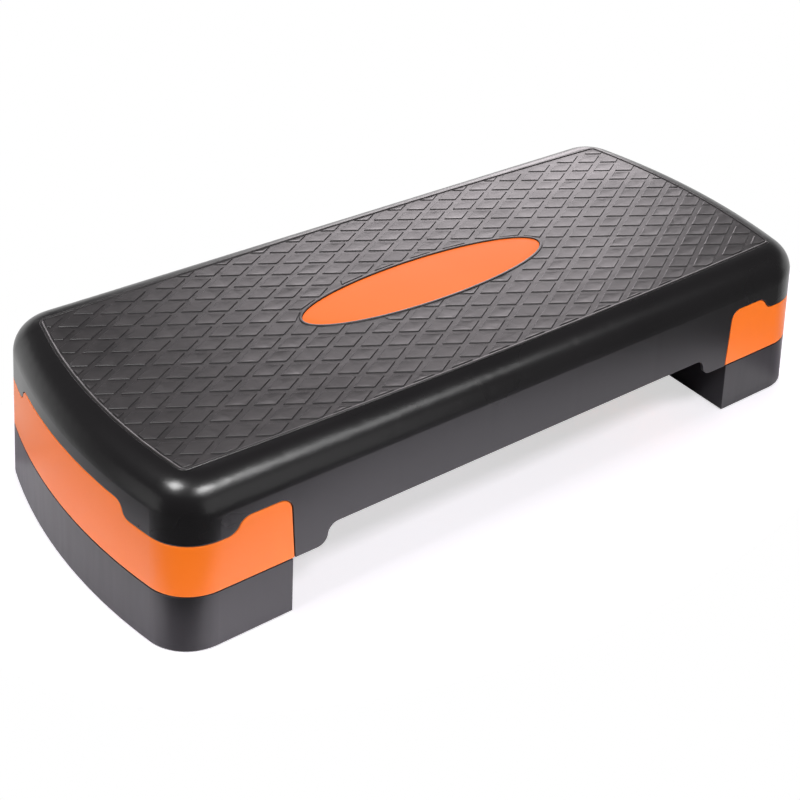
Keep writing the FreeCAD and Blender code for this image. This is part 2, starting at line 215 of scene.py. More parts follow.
@dataclass(frozen=True)
class MouldedPlastic:
    """Injection-moulded polypropylene: an even colour, a soft satin sheen and a fine spark-eroded grain.

    The grain breaks the sheen up, the wall ripples a little as it shrank, sinks in over each rib behind it,
    and every edge that left the mould is slightly rounded, so that it catches a thin line of light.
    """

    name: str
    colour: str
    shade: str
    roughness: float
    specular: float
    rough_swing: float = 0.05
    ior: float = 1.49
    grain_mm: float = 1.6
    grain_depth_mm: float = 0.012
    ripple_mm: float = 40.0
    ripple_depth_mm: float = 0.10
    ripple_stretch: float = 4.0
    cloud_mm: float = 120.0
    edge_mm: float = 0.7
    rib_pitch_mm: float = 88.0
    sink_half_mm: float = 7.0
    sink_depth_mm: float = 0.0

    def material(self) -> bpy.types.Material:
        """Builds the finish.

        Returns:
            The material.
        """
        material = empty_material(self.name)
        tree = material.node_tree
        place = add_node(tree, "ShaderNodeTexCoord").outputs["Object"]
        # Pigment and flow: two close shades in soft clouds, which also dull and gloss the skin a little
        cloud = add_node(tree, "ShaderNodeTexNoise", {
            "Vector": place, "Scale": per_mm(self.cloud_mm), "Detail": 3.0}).outputs["Fac"]
        colour = add_node(tree, "ShaderNodeMix", {
            "Factor": cloud, COLOUR_A: hex_linear(self.colour), COLOUR_B: hex_linear(self.shade)},
            data_type="RGBA").outputs[MIXED_COLOUR]
        rough = add_node(tree, "ShaderNodeMapRange", {
            "Value": cloud, "To Min": self.roughness - self.rough_swing,
            "To Max": self.roughness + self.rough_swing}).outputs[0]
        # The grain is finer on a real mould; it is drawn at a millimetre and more so that it shows
        grain = add_node(tree, "ShaderNodeTexNoise", {
            "Vector": place, "Scale": per_mm(self.grain_mm), "Detail": 2.0}).outputs["Fac"]
        # Shrinkage runs in streaks along the draw of the mould, which is upright
        drawn = add_node(tree, "ShaderNodeMapping", {
            "Vector": place, "Scale": (1.0, 1.0, 1.0 / self.ripple_stretch)}).outputs[0]
        ripple = add_node(tree, "ShaderNodeTexNoise", {
            "Vector": drawn, "Scale": per_mm(self.ripple_mm), "Detail": 1.0}).outputs["Fac"]
        edge = add_node(tree, "ShaderNodeBevel", {"Radius": self.edge_mm * MM}, samples=6).outputs[0]
        wavy = add_node(tree, "ShaderNodeBump", {
            "Height": ripple, "Distance": self.ripple_depth_mm * MM, "Strength": 1.0,
            "Normal": edge}).outputs[0]
        if self.sink_depth_mm:
            wavy = self.sunk(tree, place, wavy)
        grained = add_node(tree, "ShaderNodeBump", {
            "Height": grain, "Distance": self.grain_depth_mm * MM, "Strength": 1.0,
            "Normal": wavy}).outputs[0]
        shader = add_node(tree, "ShaderNodeBsdfPrincipled", {
            "Base Color": colour, "Roughness": rough, "Normal": grained, "IOR": self.ior,
            "Specular IOR Level": self.specular})
        add_node(tree, "ShaderNodeOutputMaterial", {"Surface": shader.outputs[0]})
        return material

    def sunk(self, tree: bpy.types.NodeTree, place: bpy.types.NodeSocket,
             normal: bpy.types.NodeSocket) -> bpy.types.NodeSocket:
        """Lays a shallow smooth dip over every cross rib, half a pitch off the middle and a pitch apart.

        Args:
            tree: the finish's tree.
            place: object coordinates.
            normal: the surface so far.

        Returns:
            The surface with its sink marks.
        """
        pitch = self.rib_pitch_mm * MM
        along = add_node(tree, "ShaderNodeSeparateXYZ", {0: place}).outputs["X"]
        wrapped = add_node(tree, "ShaderNodeMath", {0: along, 1: pitch},
                           operation="FLOORED_MODULO").outputs[0]
        off = add_node(tree, "ShaderNodeMath", {0: wrapped, 1: 0.5 * pitch},
                       operation="SUBTRACT").outputs[0]
        away = add_node(tree, "ShaderNodeMath", {0: off}, operation="ABSOLUTE").outputs[0]
        level = add_node(tree, "ShaderNodeMapRange", {
            "Value": away, "From Min": 0.0, "From Max": self.sink_half_mm * MM},
            interpolation_type="SMOOTHSTEP").outputs[0]
        return add_node(tree, "ShaderNodeBump", {
            "Height": level, "Distance": self.sink_depth_mm * MM, "Strength": 1.0,
            "Normal": normal}).outputs[0]


@dataclass(frozen=True)
class TreadRubber:
    """Compression-moulded rubber of the tread: charcoal, matt in the channels, a dull sheen on the pads.

    Soles and dust leave the pad tops a little uneven, in smears that run across several pads.
    """

    name: str = "moulded_tread_rubber"
    channel: str = "#1e1c1d"
    pad: str = "#252324"
    bloom: str = "#2d2a2b"
    roughness: float = 0.34
    rough_swing: float = 0.09
    ior: float = 1.52
    smear_mm: float = 14.0
    dust_from: float = 0.45
    dust_to: float = 0.75
    most_dust: float = 0.7
    patch_mm: float = 55.0
    grain_mm: float = 1.8
    grain_depth_mm: float = 0.035
    dent_depth_mm: float = 0.2

    def material(self) -> bpy.types.Material:
        """Builds the finish, which reads each pad's own tone from the attribute pad_tone.

        Returns:
            The material.
        """
        material = empty_material(self.name)
        tree = material.node_tree
        place = add_node(tree, "ShaderNodeTexCoord").outputs["Object"]
        tone = add_node(tree, "ShaderNodeAttribute", attribute_name="pad_tone").outputs["Fac"]
        smear = add_node(tree, "ShaderNodeTexNoise", {
            "Vector": place, "Scale": per_mm(self.smear_mm), "Detail": 4.0,
            "Distortion": 0.6}).outputs["Fac"]
        patch = add_node(tree, "ShaderNodeTexNoise", {
            "Vector": place, "Scale": per_mm(self.patch_mm), "Detail": 2.0}).outputs["Fac"]
        # The real grain is a few tenths of a millimetre; it is drawn coarser so that it shows
        grain = add_node(tree, "ShaderNodeTexNoise", {
            "Vector": place, "Scale": per_mm(self.grain_mm), "Detail": 2.0}).outputs["Fac"]
        base = add_node(tree, "ShaderNodeMix", {
            "Factor": tone, COLOUR_A: hex_linear(self.channel), COLOUR_B: hex_linear(self.pad)},
            data_type="RGBA").outputs[MIXED_COLOUR]
        dusty = add_node(tree, "ShaderNodeMapRange", {
            "Value": smear, "From Min": self.dust_from, "From Max": self.dust_to,
            "To Min": 0.0, "To Max": self.most_dust}).outputs[0]
        colour = add_node(tree, "ShaderNodeMix", {
            "Factor": dusty, COLOUR_A: base, COLOUR_B: hex_linear(self.bloom)},
            data_type="RGBA").outputs[MIXED_COLOUR]
        rough = add_node(tree, "ShaderNodeMapRange", {
            "Value": patch, "To Min": self.roughness - self.rough_swing,
            "To Max": self.roughness + self.rough_swing}).outputs[0]
        dented = add_node(tree, "ShaderNodeBump", {
            "Height": smear, "Distance": self.dent_depth_mm * MM, "Strength": 1.0}).outputs[0]
        grained = add_node(tree, "ShaderNodeBump", {
            "Height": grain, "Distance": self.grain_depth_mm * MM, "Strength": 1.0,
            "Normal": dented}).outputs[0]
        shader = add_node(tree, "ShaderNodeBsdfPrincipled", {
            "Base Color": colour, "Roughness": rough, "Normal": grained, "IOR": self.ior})
        add_node(tree, "ShaderNodeOutputMaterial", {"Surface": shader.outputs[0]})
        return material


@dataclass(frozen=True)
class FootRubber:
    """Soft moulded rubber of the feet: matt black with a dusty bloom and a grain that grips the floor."""

    name: str = "soft_foot_rubber"
    colour: str = "#1b1a1a"
    bloom: str = "#2e2c2c"
    roughness: float = 0.82
    ior: float = 1.52
    grain_mm: float = 1.2
    grain_depth_mm: float = 0.03
    bloom_mm: float = 9.0

    def material(self) -> bpy.types.Material:
        """Builds the finish.

        Returns:
            The material.
        """
        material = empty_material(self.name)
        tree = material.node_tree
        place = add_node(tree, "ShaderNodeTexCoord").outputs["Object"]
        dust = add_node(tree, "ShaderNodeTexNoise", {
            "Vector": place, "Scale": per_mm(self.bloom_mm), "Detail": 4.0}).outputs["Fac"]
        # The grain is finer on a real foot; it is drawn coarser so that it shows
        grain = add_node(tree, "ShaderNodeTexNoise", {
            "Vector": place, "Scale": per_mm(self.grain_mm), "Detail": 2.0}).outputs["Fac"]
        colour = add_node(tree, "ShaderNodeMix", {
            "Factor": dust, COLOUR_A: hex_linear(self.colour), COLOUR_B: hex_linear(self.bloom)},
            data_type="RGBA").outputs[MIXED_COLOUR]
        grained = add_node(tree, "ShaderNodeBump", {
            "Height": grain, "Distance": self.grain_depth_mm * MM, "Strength": 1.0}).outputs[0]
        shader = add_node(tree, "ShaderNodeBsdfPrincipled", {
            "Base Color": colour, "Roughness": self.roughness, "Normal": grained, "IOR": self.ior})
        add_node(tree, "ShaderNodeOutputMaterial", {"Surface": shader.outputs[0]})
        return material


DECK_PLASTIC = MouldedPlastic("moulded_deck_polypropylene", "#0c0b0c", "#110f11", 0.28, 0.47,
                              ripple_depth_mm=0.13, sink_depth_mm=0.05)
RISER_PLASTIC = MouldedPlastic("moulded_riser_polypropylene", "#141315", "#19181a", 0.30, 0.44,
                               ripple_mm=13.0, ripple_depth_mm=0.3, ripple_stretch=9.0)
ORANGE_PLASTIC = MouldedPlastic("moulded_orange_polypropylene", "#ff7c16", "#fb7410", 0.38, 0.5,
                                grain_depth_mm=0.008, ripple_depth_mm=0.05)
# The badge's orange is painted darker than the tiers' orange: painted shade that offsets the stronger light
# on its upward face
BADGE_PAINTED_SHADE_PLASTIC = MouldedPlastic("badge_polypropylene_painted_shade", "#d9600e", "#d35a0b", 0.5, 0.25,
                               grain_depth_mm=0.01, ripple_depth_mm=0.0)
TREAD_RUBBER = TreadRubber()
FOOT_RUBBER = FootRubber()


@dataclass(frozen=True)
class Oval:
    """Ellipse of the badge, in millimetres."""

    half_length: float
    half_width: float

    def ring(self, turn: np.ndarray, grow: float) -> np.ndarray:
        """Points of the ellipse (a cos t, b sin t), moved along its normal.

        Args:
            turn: the ellipse's own angle at each point.
            grow: distance outwards.

        Returns:
            Plan places, one row each.
        """
        edge = np.stack([self.half_length * np.cos(turn), self.half_width * np.sin(turn)], axis=1)
        normal = np.stack([np.cos(turn) / self.half_length, np.sin(turn) / self.half_width], axis=1)
        return edge + grow * normal / np.linalg.norm(normal, axis=1, keepdims=True)

    def depth(self, places: np.ndarray, grow: float) -> np.ndarray:
        """How far places lie outside the grown ellipse, roughly: (g - 1) over the length of g's slope.

        Here g is the length of a place measured in the half sizes, so that it is one on the ellipse.

        Args:
            places: plan places, in the last axis.
            grow: growth of both half sizes.

        Returns:
            Distances, negative inside.
        """
        half = np.array([self.half_length + grow, self.half_width + grow])
        g = np.linalg.norm(places / half, axis=-1)
        slope = np.linalg.norm(places / half ** 2, axis=-1) / np.maximum(g, TINY)
        return (g - 1.0) / np.maximum(slope, TINY)

    def outward(self, places: np.ndarray, grow: float) -> np.ndarray:
        """Unit way in which the grown ellipse's g rises fastest at places.

        Args:
            places: plan places, in the last axis.
            grow: growth of both half sizes.

        Returns:
            Unit ways, in the last axis.
        """
        rise = places / np.array([self.half_length + grow, self.half_width + grow]) ** 2
        return rise / np.maximum(np.linalg.norm(rise, axis=-1, keepdims=True), TINY)


@dataclass(frozen=True)
class MatPlan:
    """Outline of the tread mat in millimetres: sides and ends bow outwards, corners are small and round."""

    half_length: float
    half_width: float
    side_bow: float
    end_r: float = 540.0
    corner_r: float = 6.0
    bow_steps: int = 36
    corner_steps: int = 8
    side_steps: int = 60

    def centres(self) -> tuple[float, float, float, float]:
        """Centres of the bow and of the corner, and the angle where they meet.

        Returns:
            The bow's x, the corner's x and y, and the angle in radians.
        """
        bow_x = self.half_length - self.end_r
        corner_y = self.half_width - self.corner_r
        corner_x = bow_x + math.sqrt((self.end_r - self.corner_r) ** 2 - corner_y ** 2)
        return bow_x, corner_x, corner_y, math.atan2(corner_y, corner_x - bow_x)

    def path(self) -> tuple[np.ndarray, np.ndarray]:
        """Closed path: a quarter of end arc, corner arc and bowed side (a parabola), mirrored all round.

        Returns:
            Plan places and outward normals, anticlockwise, one row each.
        """
        bow_x, corner_x, corner_y, meet = self.centres()
        bow = np.linspace(0.0, meet, self.bow_steps, endpoint=False)
        bend = np.linspace(meet, 0.5 * math.pi, self.corner_steps, endpoint=False)
        along = np.linspace(corner_x, 0.0, self.side_steps, endpoint=False)
        on_bow = np.stack([bow_x + self.end_r * np.cos(bow), self.end_r * np.sin(bow)], axis=1)
        on_bend = np.stack([corner_x + self.corner_r * np.cos(bend),
                            corner_y + self.corner_r * np.sin(bend)], axis=1)
        on_side = np.stack([along, self.side(along)], axis=1)
        lean = np.arctan(2.0 * self.side_bow * along / corner_x ** 2)
        facing = np.concatenate([bow, bend, 0.5 * math.pi - lean])
        quarter = np.concatenate([on_bow, on_bend, on_side])
        normal = np.stack([np.cos(facing), np.sin(facing)], axis=1)
        flip_x = np.array([-1.0, 1.0])
        middle = np.array([[0.0, self.half_width + self.side_bow]])
        across = np.array([[0.0, 1.0]])
        half = np.concatenate([quarter, middle, quarter[:0:-1] * flip_x])
        half_normal = np.concatenate([normal, across, normal[:0:-1] * flip_x])
        return np.concatenate([half, -half]), np.concatenate([half_normal, -half_normal])

    def side(self, x: np.ndarray) -> np.ndarray:
        """Half width at x: the corner's, plus the bow times one less the square of x over the corner's."""
        return self.half_width + self.side_bow * (1.0 - (x / self.centres()[1]) ** 2)

    def depth(self, places: np.ndarray, inset: float) -> np.ndarray:
        """How far places lie inside the outline moved inwards: the nearer of the long side and the bow.

        Args:
            places: plan places, in the last axis.
            inset: distance inwards.

        Returns:
            Distances, negative outside.
        """
        x = np.abs(places[..., 0])
        y = np.abs(places[..., 1])
        to_side = self.side(x) - inset - y
        to_bow = self.end_r - inset - np.hypot(x - (self.half_length - self.end_r), y)
        return np.minimum(to_side, to_bow)

    def tangents(self, places: np.ndarray, inset: float) -> tuple[np.ndarray, np.ndarray]:
        """Lines that touch the nearer long side and the nearer end, both moved inwards, next to each place.

        Args:
            places: plan places, one row each.
            inset: distance inwards.

        Returns:
            Outward normals (places, 2, 2) and distances from the places (places, 2).
        """
        ways = np.where(places < 0.0, -1.0, 1.0)
        x = np.abs(places[:, 0])
        y = np.abs(places[:, 1])
        lean = np.arctan(2.0 * self.side_bow * x / self.centres()[1] ** 2)
        side_n = np.stack([np.sin(lean), np.cos(lean)], axis=1) * ways
        side_d = (self.side(x) - inset - y) * np.cos(lean)
        arm = np.stack([x - (self.half_length - self.end_r), y], axis=1)
        span = np.linalg.norm(arm, axis=1)
        end_n = arm / span[:, None] * ways
        end_d = self.end_r - inset - span
        return np.stack([side_n, end_n], axis=1), np.stack([side_d, end_d], axis=1)


@dataclass
class TreadMat:
    """Rubber mat of the deck: a sheet with a rounded frame, a rounded lip round the badge, and lozenge pads.

    Sizes are in millimetres. Frame and lip are low beads, each with a small fillet, the toe, at its foot.
    """

    plan: MatPlan
    oval: Oval
    floor: float
    top: float
    rise: float = 0.62  # tops of frame and pads above the sheet
    frame_w: float = 2.4
    gap: float = 0.9  # channel between the beads and the pads
    edge_r: float = 1.0
    edge_drop: float = 0.6
    lip_drop: float = 0.18
    toe_near: float = 0.1
    toe_far: float = 0.35
    toe_rise: float = 0.12
    badge_clear: float = 0.2
    pitch_x: float = 35.875
    pitch_y: float = 21.42
    share: float = 0.77  # of the pitch that a pad's diagonals take
    sunk: float = 0.4  # how far a pad goes down into the sheet
    draft: float = 0.16
    bevel: float = 0.5
    bevel_drop: float = 0.32
    rim_drop: float = 0.02  # pads lie this far under the frame's top
    dish: float = 0.36  # deepest hollow of a pad's top
    least_dish: float = 0.2  # shallowest one, as a share of it
    stray: float = 0.6  # most of the way to the rim that a hollow's foot goes
    least: float = 1.9  # cut pads with less room than this are left out
    least_tone: float = 0.35
    bead_steps: int = 5
    sheet_steps: int = 12
    trial_reach: float = 0.9
    trial_steps: int = 19
    ring_steps: int = 16
    crease_deg: float = 20.0
    seed: int = 7

    def section(self) -> tuple[np.ndarray, np.ndarray, np.ndarray]:
        """Section of the sheet from the badge's hole to the mat's edge: lip, plain sheet and frame.

        A bead's round edge falls by its drop times 1 - cos t while it runs out by its radius times sin t.

        Returns:
            For each ring: 0 on the oval to 1 on the outline, distance grown from there, and level.
        """
        turn = np.linspace(0.0, 0.5 * math.pi, self.bead_steps)
        bend = 1.0 - np.cos(turn)
        run = self.edge_r * np.sin(turn)
        sheet = self.top - self.rise
        toe = self.frame_w + np.array([self.toe_near, self.toe_far])
        toe_z = np.array([sheet + self.toe_rise, sheet])
        inner = self.badge_clear + self.edge_r - run[::-1]
        outer = self.frame_w - self.edge_r + run
        lip = self.top - self.lip_drop * bend
        rim = self.top - self.edge_drop * bend
        lip_at = np.concatenate([[self.badge_clear], inner, outer, toe])
        lip_z = np.concatenate([[self.floor], lip[::-1], lip, toe_z])
        frame_at = -np.concatenate([toe[::-1], outer[::-1], self.edge_r - run, [0.0]])
        frame_z = np.concatenate([toe_z[::-1], rim[::-1], rim, [self.floor]])
        share = np.linspace(0.0, 1.0, self.sheet_steps)[1:-1]
        kind = np.concatenate([np.zeros_like(lip_at), share, np.ones_like(frame_at)])
        grow = np.concatenate([lip_at, np.zeros_like(share), frame_at])
        level = np.concatenate([lip_z, np.full_like(share, sheet), frame_z])
        return kind, grow, level

    def sheet_points(self) -> np.ndarray:
        """Carries the section round the mat: each ring is the grown oval, the grown outline or their blend.

        Returns:
            Places in millimetres, ring by ring: rings, points in a ring, three.
        """
        edge, normal = self.plan.path()
        turn = np.arctan2(edge[:, 1] / self.plan.half_width, edge[:, 0] / self.plan.half_length)
        kind, grow, level = self.section()
        near = self.oval.ring(turn, self.frame_w + self.toe_far)
        far = edge - (self.frame_w + self.toe_far) * normal
        blend = near[None] + kind[:, None, None] * (far - near)[None]
        on_oval = np.stack([self.oval.ring(turn, g) for g in grow])
        on_edge = edge[None] + grow[:, None, None] * normal[None]
        rings = np.where((kind == 1.0)[:, None, None], on_edge, blend)
        rings = np.where((kind == 0.0)[:, None, None], on_oval, rings)
        return raise_rings(rings, level)

    def room(self, places: np.ndarray) -> np.ndarray:
        """Distance of places from the nearer of the frame's and the lip's channel, negative under them."""
        inset = self.frame_w + self.gap
        return np.minimum(self.plan.depth(places, inset), self.oval.depth(places, inset))

    def half_sizes(self) -> np.ndarray:
        """Half diagonals of a whole pad along and across the mat."""
        return 0.5 * self.share * np.array([self.pitch_x, self.pitch_y])

    def anchors(self) -> tuple[np.ndarray, np.ndarray]:
        """Pads of two interleaved grids, each with the place deepest inside its lozenge and the mat's field.

        Returns:
            Centres and anchors of the pads that are left, in plan.
        """
        reach_x = 2 * (int(self.plan.half_length / self.pitch_x) + 1)
        reach_y = 2 * (int((self.plan.half_width + self.plan.side_bow) / self.pitch_y) + 1)
        i, j = np.meshgrid(np.arange(-reach_x, reach_x + 1), np.arange(-reach_y, reach_y + 1))
        even = (i + j) % 2 == 0
        centre = np.stack([0.5 * i[even] * self.pitch_x, 0.5 * j[even] * self.pitch_y], axis=1)
        size = self.half_sizes()
        tries = np.linspace(-self.trial_reach, self.trial_reach, self.trial_steps)
        u, v = np.meshgrid(tries, tries)
        trial = np.stack([u.ravel(), v.ravel()], axis=1)
        share = 1.0 - np.abs(trial).sum(axis=1)
        trial = trial[share > 0.0] * size
        in_pad = share[share > 0.0] * size[0] * size[1] / np.hypot(size[0], size[1])
        depth = np.minimum(in_pad[None], self.room(centre[:, None] + trial[None]))
        best = depth.argmax(axis=1)
        keep = depth.max(axis=1) > self.least
        return centre[keep], (centre + trial[best])[keep]

    def cuts(self, centre: np.ndarray, anchor: np.ndarray) -> tuple[np.ndarray, np.ndarray]:
        """Straight cuts that bound each pad: its four sides, the frame's side and end, and the lip nearby.

        Args:
            centre: pad centres.
            anchor: a place inside each pad.

        Returns:
            Outward normals (pads, 7, 2) and distances from the anchor (pads, 7).
        """
        size = self.half_sizes()
        slope = size[::-1] / np.hypot(size[0], size[1])
        sides = np.array([[1.0, 1.0], [-1.0, 1.0], [-1.0, -1.0], [1.0, -1.0]]) * slope
        reach = size[0] * size[1] / np.hypot(size[0], size[1]) - (anchor - centre) @ sides.T
        inset = self.frame_w + self.gap
        frame_n, frame_d = self.plan.tangents(anchor, inset)
        lip_n = -self.oval.outward(anchor, inset)[:, None]
        lip_d = self.oval.depth(anchor, inset)[:, None]
        whole = np.broadcast_to(sides[None], (len(centre), 4, 2))
        normal = np.concatenate([whole, frame_n, lip_n], axis=1)
        return normal, np.concatenate([reach, frame_d, lip_d], axis=1)

    def pad_ring(self, normal: np.ndarray, reach: np.ndarray) -> np.ndarray:
        """Ring round each anchor where the first cut is met, with a point wherever two cuts make a corner.

        Args:
            normal: outward normals of the cuts.
            reach: their distances from the anchor.

        Returns:
            Plan places about the anchors: pads, points in a ring, two.
        """
        one, two = np.triu_indices(normal.shape[1], 1)
        cross = normal[:, one, 0] * normal[:, two, 1] - normal[:, one, 1] * normal[:, two, 0]
        meets = np.abs(cross) > TINY
        safe = np.where(meets, cross, 1.0)
        x = (reach[:, one] * normal[:, two, 1] - reach[:, two] * normal[:, one, 1]) / safe
        y = (reach[:, two] * normal[:, one, 0] - reach[:, one] * normal[:, two, 0]) / safe
        past = normal[:, :, 0, None] * x[:, None] + normal[:, :, 1, None] * y[:, None]
        over = past - reach[:, :, None]
        pad, corner = np.nonzero(meets & (over.max(axis=1) < TINY))
        step = 2.0 * math.pi / self.ring_steps
        turn = np.tile(np.arange(self.ring_steps) * step, (len(normal), 1))
        at = np.arctan2(y[pad, corner], x[pad, corner])
        turn[pad, np.round(at / step).astype(int) % self.ring_steps] = at
        way = np.stack([np.cos(turn), np.sin(turn)], axis=2)
        along = np.einsum("pcd,prd->prc", normal, way)
        far = np.where(along > TINY, reach[:, None] / np.maximum(along, TINY), np.inf).min(axis=2)
        return way * far[..., None]

    def pad_points(self) -> tuple[np.ndarray, int]:
        """Three rings of each pad and its hollow's foot.

        The rings are sunk in the sheet, at the top of the drafted wall and at the inner edge of the bevel.

        Returns:
            Places in millimetres, pad by pad, and the number of pads.
        """
        centre, anchor = self.anchors()
        normal, reach = self.cuts(centre, anchor)
        count = len(centre)
        rim = self.top - self.rim_drop
        insets = (0.0, self.draft, self.draft + self.bevel)
        levels = (self.top - self.rise - self.sunk, rim - self.bevel_drop, rim)
        rings = [np.insert(anchor[:, None] + self.pad_ring(normal, reach - inset), 2, level, axis=2)
                 for inset, level in zip(insets, levels)]
        # The foot strays towards one point of the rim, by up to a share of the way, so no two pads match
        rng = np.random.default_rng(self.seed)
        towards = rings[-1][np.arange(count), rng.integers(0, self.ring_steps, count), :2]
        foot = anchor + (towards - anchor) * rng.uniform(0.0, self.stray, (count, 1))
        level = rim - self.dish * rng.uniform(self.least_dish, 1.0, count)
        feet = np.concatenate([foot, level[:, None]], axis=1)[:, None]
        return np.concatenate(rings + [feet], axis=1).reshape(-1, 3), count

    def build(self) -> bpy.types.Object:
        """Makes the mat as one mesh of closed shells: the sheet and every pad.

        Returns:
            The piece, riding on the platform in place of the plain solid.
        """
        sheet = self.sheet_points()
        rings, around = sheet.shape[:2]
        sheet_quads = grid_faces(rings, around, close_rows=True)
        pads, count = self.pad_points()
        first = rings * around
        steps = self.ring_steps
        size = len(pads) // count
        foot = size - 1
        inner = foot - steps
        starts = first + np.arange(count)[:, None, None] * size
        walls = (starts + grid_faces(foot // steps, steps, close_rows=False)[None]).reshape(-1, 4)
        spoke = np.arange(steps)
        fan = np.stack([inner + spoke, inner + (spoke + 1) % steps, np.full(steps, foot)], axis=1)
        hollows = (starts + fan[None]).reshape(-1, 3)
        soles = starts[:, 0] + spoke[::-1][None]
        faces = sheet_quads[:, ::-1].tolist() + walls.tolist() + hollows.tolist() + soles.tolist()
        points = np.concatenate([sheet.reshape(-1, 3), pads]) * MM
        piece = make_piece("lozenge_tread", points, faces, self.crease_deg)
        pad_tone = np.random.default_rng(self.seed).uniform(self.least_tone, 1.0, count)
        tone = np.zeros(len(points), np.float32)
        tone[first:] = np.repeat(pad_tone, size)
        piece.data.attributes.new("pad_tone", "FLOAT", "POINT").data.foreach_set("value", tone)
        dress(piece, TREAD_RUBBER.material())
        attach(piece, "platform")
        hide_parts("tread_mat")
        LOG.info("%s: %d pads", piece.name, count)
        return piece


@dataclass
class OvalBadge:
    """Plain orange oval set into the mat, with a rounded rim and a barely crowned face, in millimetres."""

    oval: Oval
    floor: float
    top: float
    sink: float = 0.4  # face this far under its plain solid's, so that the lip shades its far edge
    rim_r: float = 0.35
    crown: float = 0.12
    around: int = 240
    rim_steps: int = 6
    face_steps: int = 12
    lid_share: float = 0.04
    crease_deg: float = 40.0

    def build(self) -> bpy.types.Object:
        """Rings of the ellipse shrunk towards the middle, with level falling as the square of the share.

        Returns:
            The piece, riding on the platform in place of the plain solid.
        """
        turn = np.linspace(0.0, 2.0 * math.pi, self.around, endpoint=False)
        bend = np.linspace(0.0, 0.5 * math.pi, self.rim_steps)
        shares = np.linspace(1.0, self.lid_share, self.face_steps)[1:]
        top = self.top - self.sink
        foot = self.oval.ring(turn, 0.0)[None]
        rim = np.stack([self.oval.ring(turn, -self.rim_r * (1.0 - math.cos(b))) for b in bend])
        rim_z = top - self.crown - self.rim_r * (1.0 - np.sin(bend))
        face = shares[:, None, None] * rim[-1][None]
        face_z = top - self.crown * shares ** 2
        plan = np.concatenate([foot, rim, face])
        level = np.concatenate([[self.floor], rim_z, face_z])
        points = raise_rings(plan, level).reshape(-1, 3) * MM
        quads = grid_faces(len(plan), self.around, close_rows=False)
        lid = (len(plan) - 1) * self.around + np.arange(self.around)
        sole = np.arange(self.around)[::-1]
        faces = quads.tolist() + [lid.tolist(), sole.tolist()]
        piece = make_piece("bare_oval_badge", points, faces, self.crease_deg)
        dress(piece, BADGE_PAINTED_SHADE_PLASTIC.material())
        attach(piece, "platform")
        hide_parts("oval_badge")
        LOG.info("%s: %d rings", piece.name, len(plan))
        return piece


@dataclass
class Platform:
    """Deck moulding with its tread mat and badge."""

    nodes: dict[str, bpy.types.Object]
    side_bow: float = 5.0

    def build(self) -> None:
        """Dresses the deck and makes the mat and the badge in the recess that the deck leaves for them."""
        low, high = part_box("tread_mat")
        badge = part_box("oval_badge")[1]
        oval = Oval(badge.x / MM, badge.y / MM)
        plan = MatPlan(high.x / MM, high.y / MM - self.side_bow, self.side_bow)
        floor = low.z / MM
        dress(self.nodes["deck_shell"], DECK_PLASTIC.material())
        LOG.info("deck_shell dressed")
        TreadMat(plan, oval, floor, high.z / MM).build()
        OvalBadge(oval, floor, badge.z / MM).build()


@dataclass
class RiserStack:
    """Both tiers and the feet of one end of the step."""

    end: End
    nodes: dict[str, bpy.types.Object]

    def dress(self, orange: bpy.types.Material, black: bpy.types.Material,
              rubber: bpy.types.Material) -> None:
        """Gives the tiers and feet of this end their finishes.

        Args:
            orange: finish of the upper tier.
            black: finish of the lower tier.
            rubber: finish of the feet.
        """
        end = self.end.value
        dress(self.nodes[f"{end}_upper_riser"], orange)
        dress(self.nodes[f"{end}_base_riser"], black)
        feet = [node for name, node in self.nodes.items() if name.startswith(f"{end}_foot")]
        for foot in feet:
            dress(foot, rubber)
        LOG.info("%s risers dressed, %d feet", end, len(feet))


@dataclass(frozen=True)
class Softbox:
    """Soft area lamp, aimed at the middle of the step."""

    name: str
    place: tuple[float, float, float]
    width: float
    height: float
    radiance: float
    tint: str = "#ffffff"

    def build(self, target: tuple[float, float, float]) -> None:
        """Hangs the lamp so that its face has the stated radiance: power is radiance times area times pi.

        Args:
            target: the place that it looks at.
        """
        lamp = bpy.data.lights.new(self.name, "AREA")
        lamp.shape = "RECTANGLE"
        lamp.size = self.width
        lamp.size_y = self.height
        lamp.energy = self.radiance * self.width * self.height * math.pi
        lamp.color = hex_linear(self.tint)[:3]
        piece = bpy.data.objects.new(self.name, lamp)
        away = np.array(self.place) - np.array(target)
        back = away / np.linalg.norm(away)
        across = np.cross([0.0, 0.0, 1.0], back)
        across /= np.linalg.norm(across)
        turn = np.column_stack([across, np.cross(back, across), back])
        piece.matrix_world = Matrix.Translation(self.place) @ Matrix(turn.tolist()).to_4x4()
        bpy.context.scene.collection.objects.link(piece)


def white_share(tree: bpy.types.NodeTree, shown: bpy.types.NodeSocket) -> bpy.types.NodeSocket:
    """Share of white that a ray sees: all on the eye's own rays, what is shown on mirrored and bent ones.

    Args:
        tree: the board's or the room's tree.
        shown: how much of the white shows in gloss and through glass, from nothing to one.

    Returns:
        The share.
    """
    path = add_node(tree, "ShaderNodeLightPath").outputs
    bounced = add_node(tree, "ShaderNodeMath", {0: path["Is Glossy Ray"], 1: path["Is Transmission Ray"]},
                       operation="MAXIMUM").outputs[0]
    there = add_node(tree, "ShaderNodeMath", {0: bounced, 1: shown}, operation="MULTIPLY").outputs[0]
    return add_node(tree, "ShaderNodeMath", {0: path["Is Camera Ray"], 1: there},
                    operation="MAXIMUM").outputs[0]


